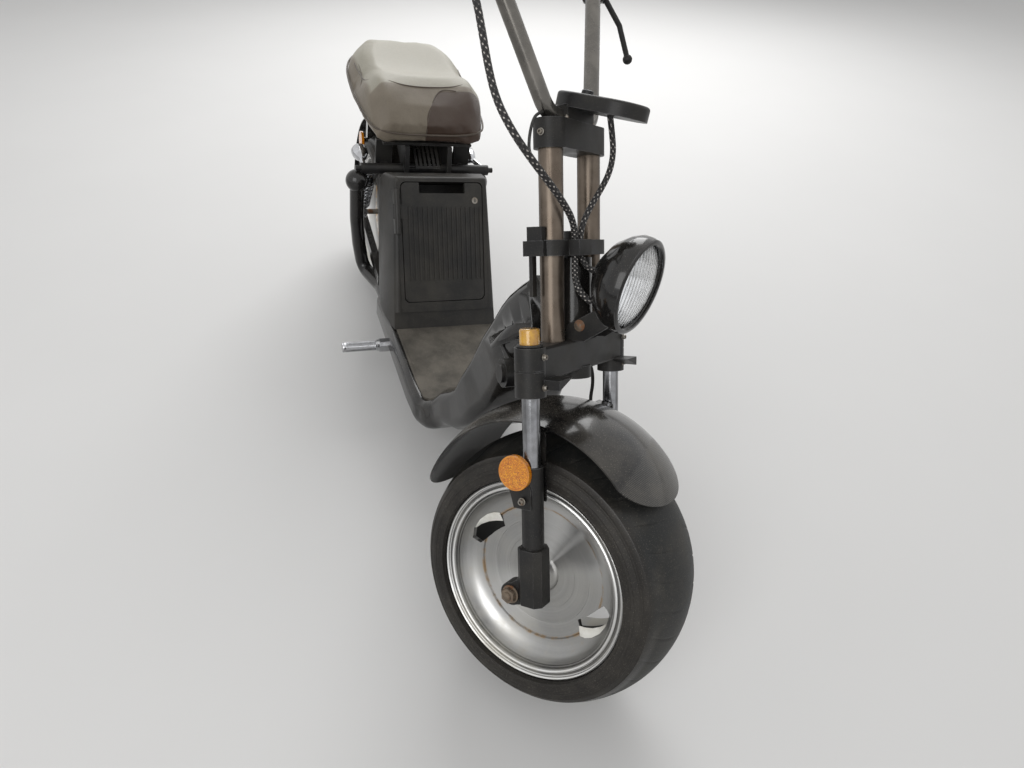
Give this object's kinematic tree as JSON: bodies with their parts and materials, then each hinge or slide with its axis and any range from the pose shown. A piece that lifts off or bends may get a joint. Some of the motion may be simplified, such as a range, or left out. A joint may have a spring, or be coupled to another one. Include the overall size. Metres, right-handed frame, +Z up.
{
  "type": "electric motor scooter",
  "caption": "Low electric scooter with fat tyres, a pressed cradle frame, twin-tube front end, battery box and broad saddle, leaning on its side stand.",
  "frame": {"origin": "on the floor, under the middle of the vehicle's bounding box", "axes": "+X towards the front wheel, +Z up; the vehicle leans to +Y, its left, on its side stand"},
  "size_m": [1.9231, 0.6068, 1.2564],
  "materials": {
    "tyre_rubber": "dusty rubber",
    "rim_polished": "turned and polished",
    "disc_steel": "brushed",
    "frame_black": "gloss black",
    "satin_black": "satin black",
    "bronze_tube": "satin bronze grey",
    "chrome": "bright",
    "case_plastic": "grained",
    "mat_rubber": "dusty",
    "seat_leather": "worn brown",
    "lens_glass": "fluted clear",
    "amber_plastic": "clear amber",
    "red_plastic": "clear red",
    "grip_rubber": "ribbed",
    "plain_steel": "dull",
    "plate_white": "blank",
    "pack_grey": "plain"
  },
  "bodies": {
    "frame": {"battery_case": "case_plastic", "battery_pack": "pack_grey", "deck_mat": "mat_rubber", "footpegs": "chrome", "horn": "satin_black", "main_frame": "frame_black", "plate_holder": "plate_white", "rear_axle": "plain_steel", "rear_caliper": "satin_black", "rear_indicators": "chrome", "rear_loops": "frame_black", "rear_mudguard": "frame_black", "rear_reflectors": "amber_plastic", "rear_shocks": "chrome", "rear_subframe": "satin_black", "seat_base": "satin_black", "seat_cushion": "seat_leather", "swingarm": "frame_black", "tail_lamp": "red_plastic"},
    "battery_door": {"battery_door": "case_plastic", "door_lock": "chrome"},
    "side_stand": {"side_stand": "satin_black"},
    "steering": {"lower_yoke": "satin_black", "stanchions": "chrome", "fork_legs": "satin_black", "uprights": "bronze_tube", "fork_clamps": "satin_black", "handlebar": "bronze_tube", "grips": "grip_rubber", "levers": "satin_black", "dash_plate": "satin_black", "headlamp_shell": "satin_black", "headlamp_lens": "lens_glass", "fork_caps": "amber_plastic", "fork_reflectors": "amber_plastic", "front_mudguard": "frame_black", "front_axle": "plain_steel", "front_caliper": "satin_black", "cable_harness": "grip_rubber"},
    "front_wheel": {"front_tyre": "tyre_rubber", "front_rim": "rim_polished", "front_disc": "disc_steel"},
    "rear_wheel": {"rear_tyre": "tyre_rubber", "rear_rim": "rim_polished", "rear_disc": "disc_steel"}
  },
  "joints": [
    {"name": "steering_stem", "type": "hinge", "parent": "frame", "child": "steering", "pos_m": [0.53173, 0.03694, 0.65125], "axis": [-0.4817, 0.1174, 0.8684], "range_deg": [-71.6, 0]},
    {"name": "front_hub", "type": "hinge", "parent": "steering", "child": "front_wheel", "pos_m": [0.73014, -0.04122, 0.2347], "axis": [-0.5126, 0.766, -0.3879], "continuous": true},
    {"name": "rear_hub", "type": "hinge", "parent": "frame", "child": "rear_wheel", "pos_m": [-0.65095, -0.01892, 0.23806], "axis": [0, 0.991, -0.134], "continuous": true},
    {"name": "door_hinge", "type": "hinge", "parent": "frame", "child": "battery_door", "pos_m": [-0.18155, -0.11828, 0.39132], "axis": [0.4655, -0.1186, -0.8771], "range_deg": [0, 100]},
    {"name": "stand_pivot", "type": "hinge", "parent": "frame", "child": "side_stand", "pos_m": [0.00549, 0.09137, 0.06863], "axis": [0.0063, 0.5681, 0.8229], "range_deg": [0, 80]}
  ]
}
